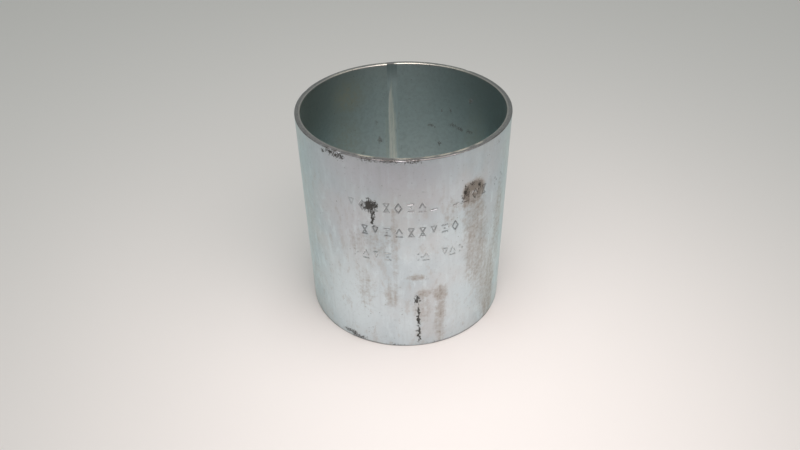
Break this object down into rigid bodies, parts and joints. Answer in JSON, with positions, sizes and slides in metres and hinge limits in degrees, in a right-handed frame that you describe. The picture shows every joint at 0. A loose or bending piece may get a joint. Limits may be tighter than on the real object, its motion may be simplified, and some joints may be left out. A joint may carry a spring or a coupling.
{
  "type": "rigid sleeve coupling",
  "caption": "Plain thin-walled zinc-plated steel sleeve with a full-length welded seam and two flat open ends, to be slid over a joint and crimped.",
  "frame": {"origin": "centre of the lower end, on the bore's axis, at the height of the surface that the sleeve stands on", "axes": "+Z along the bore's axis from the lower end to the upper end, +Y towards the lengthwise weld, +X completing a right-handed frame"},
  "size_m": [0.0952, 0.0952, 0.1016],
  "materials": {
    "zinc_plate": "zinc plated, semi-bright and slightly bluish, with handling stains",
    "weld_steel": "scarfed weld metal, plated over, with fine lengthwise streaks"
  },
  "bodies": {
    "root": {"sleeve_wall": "zinc_plate", "seam_weld": "weld_steel"}
  },
  "joints": []
}
